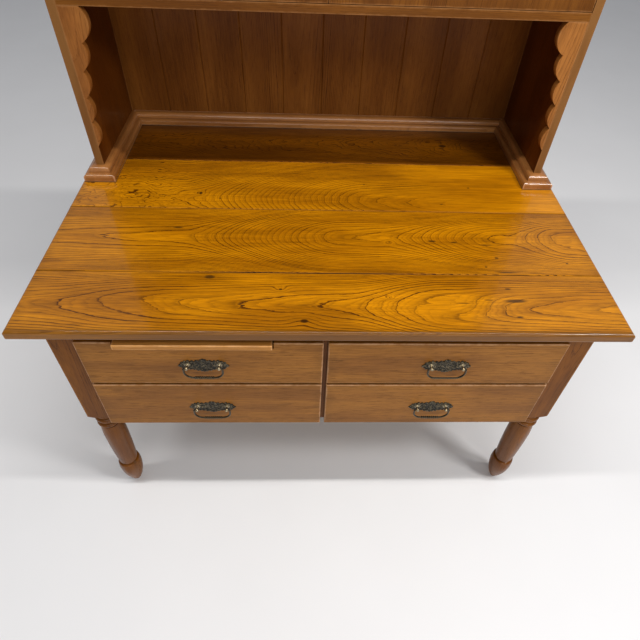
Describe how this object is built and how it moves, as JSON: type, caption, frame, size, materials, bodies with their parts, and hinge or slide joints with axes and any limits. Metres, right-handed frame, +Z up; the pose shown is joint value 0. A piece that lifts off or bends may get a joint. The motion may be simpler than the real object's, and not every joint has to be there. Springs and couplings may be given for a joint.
{
  "type": "bakers cabinet",
  "caption": "Wooden bakers cabinet on turned legs, with lipped drawers, swinging bail pulls, a pull-out bread board and an upper cupboard over the worktop.",
  "frame": {"origin": "on the floor, under the middle of the whole width and the whole depth", "axes": "+X to the right seen from the front, +Y to the back, +Z up; the front looks towards -Y"},
  "size_m": [1.3, 0.899, 1.85],
  "materials": {
    "top_varnish": "glossy amber varnish over grain that runs across, worn at the edges",
    "leg_varnish": "glossy dark varnish, lighter where it is rubbed",
    "case_wood": "satin varnish, darker towards the lower edge",
    "drawer_varnish": "semi-gloss brown varnish with fine grain",
    "inner_wood": "bare dry wood",
    "bread_wood": "worn wood, oiled",
    "hutch_varnish": "satin varnish",
    "moulding_varnish": "satin varnish, worn pale on the edges",
    "door_varnish": "semi-gloss varnish with upright grain",
    "pull_brass": "aged dark brass, bright where it is touched",
    "hinge_brass": "aged brass, dull"
  },
  "bodies": {
    "case": {"top_board_1": "top_varnish", "top_board_2": "top_varnish", "top_board_3": "top_varnish", "top_board_4": "top_varnish", "leg_front_left": "leg_varnish", "leg_front_right": "leg_varnish", "leg_rear_left": "leg_varnish", "leg_rear_right": "leg_varnish", "side_panel_left": "case_wood", "side_panel_right": "case_wood", "back_panel": "case_wood", "partition": "case_wood", "rail_top": "inner_wood", "rail_middle": "inner_wood", "rail_bottom": "inner_wood", "runners": "inner_wood", "bread_guides": "inner_wood", "hutch_side_left": "hutch_varnish", "hutch_side_right": "hutch_varnish", "hutch_back": "hutch_varnish", "bracket_left": "hutch_varnish", "bracket_right": "hutch_varnish", "cupboard_floor": "hutch_varnish", "cupboard_shelf": "hutch_varnish", "cupboard_top": "hutch_varnish", "base_moulding_left": "moulding_varnish", "base_moulding_right": "moulding_varnish", "base_moulding_back": "moulding_varnish", "cornice": "moulding_varnish", "hinge_leaves": "hinge_brass"},
    "upper_left_drawer": {"upper_left_front": "drawer_varnish", "upper_left_box": "inner_wood", "upper_left_bottom": "inner_wood", "upper_left_plate": "pull_brass"},
    "upper_left_handle": {"upper_left_bail": "pull_brass"},
    "upper_right_drawer": {"upper_right_front": "drawer_varnish", "upper_right_box": "inner_wood", "upper_right_bottom": "inner_wood", "upper_right_plate": "pull_brass"},
    "upper_right_handle": {"upper_right_bail": "pull_brass"},
    "lower_left_drawer": {"lower_left_front": "drawer_varnish", "lower_left_box": "inner_wood", "lower_left_bottom": "inner_wood", "lower_left_plate": "pull_brass"},
    "lower_left_handle": {"lower_left_bail": "pull_brass"},
    "lower_right_drawer": {"lower_right_front": "drawer_varnish", "lower_right_box": "inner_wood", "lower_right_bottom": "inner_wood", "lower_right_plate": "pull_brass"},
    "lower_right_handle": {"lower_right_bail": "pull_brass"},
    "board": {"bread_board": "bread_wood"},
    "left_door": {"door_left_frame": "door_varnish", "door_left_panel": "door_varnish", "door_left_hinges": "hinge_brass", "door_left_knob": "pull_brass"},
    "right_door": {"door_right_frame": "door_varnish", "door_right_panel": "door_varnish", "door_right_hinges": "hinge_brass", "door_right_knob": "pull_brass"}
  },
  "joints": [
    {"name": "upper_left_slide", "type": "slide", "parent": "case", "child": "upper_left_drawer", "axis": [0, -1, 0], "range_m": [0, 0.48]},
    {"name": "upper_left_swing", "type": "hinge", "parent": "upper_left_drawer", "child": "upper_left_handle", "pos_m": [-0.26625, -0.4453, 0.6265], "axis": [-1, 0, 0], "range_deg": [0, 100]},
    {"name": "upper_right_slide", "type": "slide", "parent": "case", "child": "upper_right_drawer", "axis": [0, -1, 0], "range_m": [0, 0.48]},
    {"name": "upper_right_swing", "type": "hinge", "parent": "upper_right_drawer", "child": "upper_right_handle", "pos_m": [0.27125, -0.4453, 0.6265], "axis": [-1, 0, 0], "range_deg": [0, 100]},
    {"name": "lower_left_slide", "type": "slide", "parent": "case", "child": "lower_left_drawer", "axis": [0, -1, 0], "range_m": [0, 0.48]},
    {"name": "lower_left_swing", "type": "hinge", "parent": "lower_left_drawer", "child": "lower_left_handle", "pos_m": [-0.26625, -0.4453, 0.4605], "axis": [-1, 0, 0], "range_deg": [0, 100]},
    {"name": "lower_right_slide", "type": "slide", "parent": "case", "child": "lower_right_drawer", "axis": [0, -1, 0], "range_m": [0, 0.48]},
    {"name": "lower_right_swing", "type": "hinge", "parent": "lower_right_drawer", "child": "lower_right_handle", "pos_m": [0.26625, -0.4453, 0.4605], "axis": [-1, 0, 0], "range_deg": [0, 100]},
    {"name": "board_slide", "type": "slide", "parent": "case", "child": "board", "axis": [0, -1, 0], "range_m": [0, 0.32]},
    {"name": "left_door_hinge", "type": "hinge", "parent": "case", "child": "left_door", "pos_m": [-0.59125, 0.118, 1.49], "axis": [0, 0, -1], "range_deg": [0, 110]},
    {"name": "right_door_hinge", "type": "hinge", "parent": "case", "child": "right_door", "pos_m": [0.59125, 0.118, 1.49], "axis": [0, 0, 1], "range_deg": [0, 110]}
  ]
}
